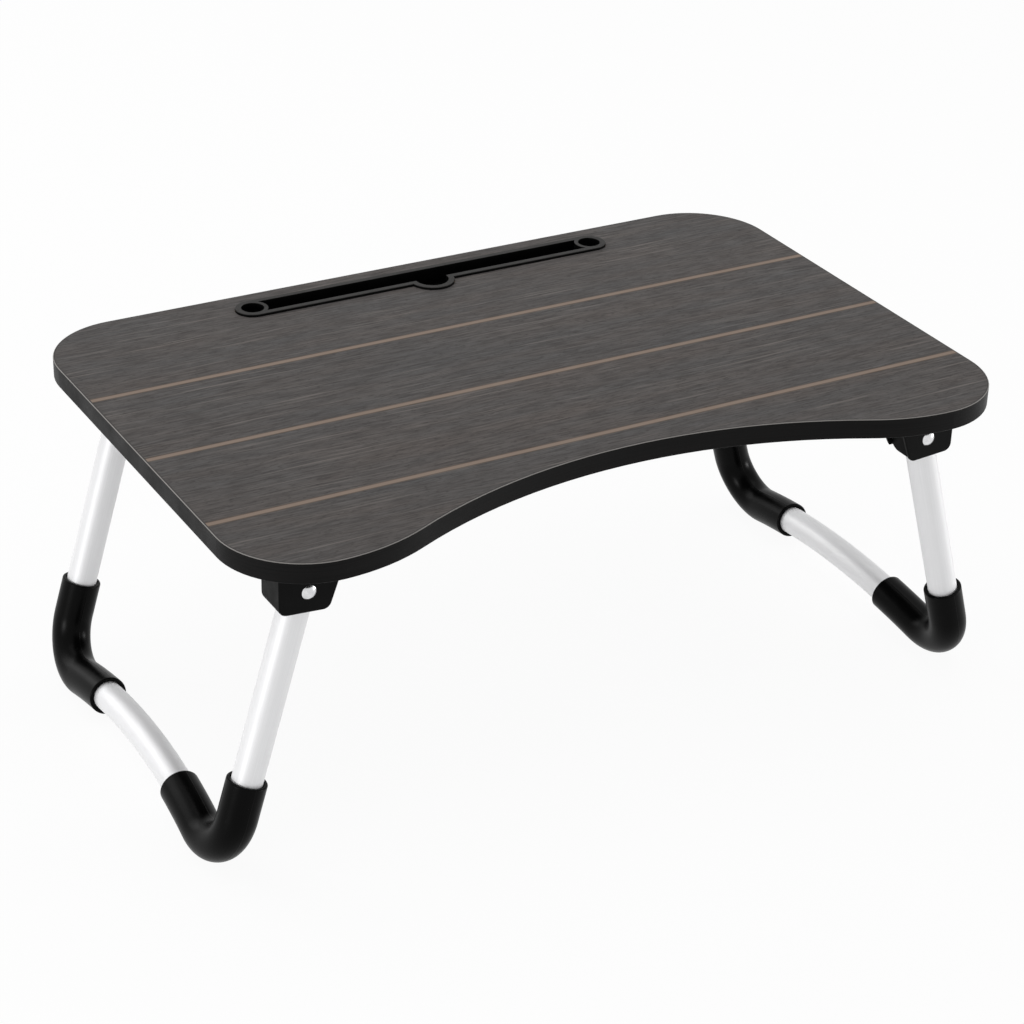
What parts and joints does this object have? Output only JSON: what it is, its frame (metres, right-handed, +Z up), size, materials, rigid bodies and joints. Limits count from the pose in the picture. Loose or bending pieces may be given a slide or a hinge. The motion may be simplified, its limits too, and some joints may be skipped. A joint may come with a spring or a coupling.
{
  "type": "folding laptop table",
  "caption": "Low lap table: a rounded wood-grain board with a curved front cut-out and a rear tablet slot, on splayed U-shaped tube legs that fold flat under it.",
  "frame": {"origin": "on the floor below the middle of the board, with the legs open", "axes": "+X along the board, -Y towards the user's curved cut-out, +Z up out of the worktop"},
  "size_m": [0.6376, 0.4, 0.257],
  "materials": {
    "fibreboard": "pressed wood fibre, raw",
    "wood_grain_laminate": "matt dark wood-grain print with thin tan lines",
    "backing_laminate": "plain matt black backing sheet",
    "edge_band_plastic": "satin black edge strip",
    "tray_plastic": "fine moulded texture",
    "bracket_plastic": "fine moulded texture",
    "plug_plastic": "fine moulded texture",
    "rivet_steel": "polished nickel plate",
    "washer_steel": "zinc plate",
    "screw_steel": "zinc plate",
    "leg_aluminium": "satin silver",
    "sleeve_rubber": "soft satin black"
  },
  "bodies": {
    "tabletop": {"board_core": "fibreboard", "top_laminate": "wood_grain_laminate", "bottom_laminate": "backing_laminate", "edge_band": "edge_band_plastic", "slot_tray": "tray_plastic", "rivet_washers": "washer_steel", "bracket_screws": "screw_steel", "hinge_bracket_front_left": "bracket_plastic", "pivot_rivet_front_left": "rivet_steel", "hinge_bracket_front_right": "bracket_plastic", "pivot_rivet_front_right": "rivet_steel", "hinge_bracket_rear_left": "bracket_plastic", "pivot_rivet_rear_left": "rivet_steel", "hinge_bracket_rear_right": "bracket_plastic", "pivot_rivet_rear_right": "rivet_steel"},
    "left_leg": {"leg_tube_left": "leg_aluminium", "tube_end_plug_front_left": "plug_plastic", "foot_sleeve_front_left": "sleeve_rubber", "tube_end_plug_rear_left": "plug_plastic", "foot_sleeve_rear_left": "sleeve_rubber"},
    "right_leg": {"leg_tube_right": "leg_aluminium", "tube_end_plug_front_right": "plug_plastic", "foot_sleeve_front_right": "sleeve_rubber", "tube_end_plug_rear_right": "plug_plastic", "foot_sleeve_rear_right": "sleeve_rubber"}
  },
  "joints": [
    {"name": "left_leg_fold", "type": "hinge", "parent": "tabletop", "child": "left_leg", "pos_m": [-0.24702, 0, 0.2142], "axis": [0, -1, 0], "range_deg": [0, 106]},
    {"name": "right_leg_fold", "type": "hinge", "parent": "tabletop", "child": "right_leg", "pos_m": [0.24702, 0, 0.2142], "axis": [0, 1, 0], "range_deg": [0, 106]}
  ]
}
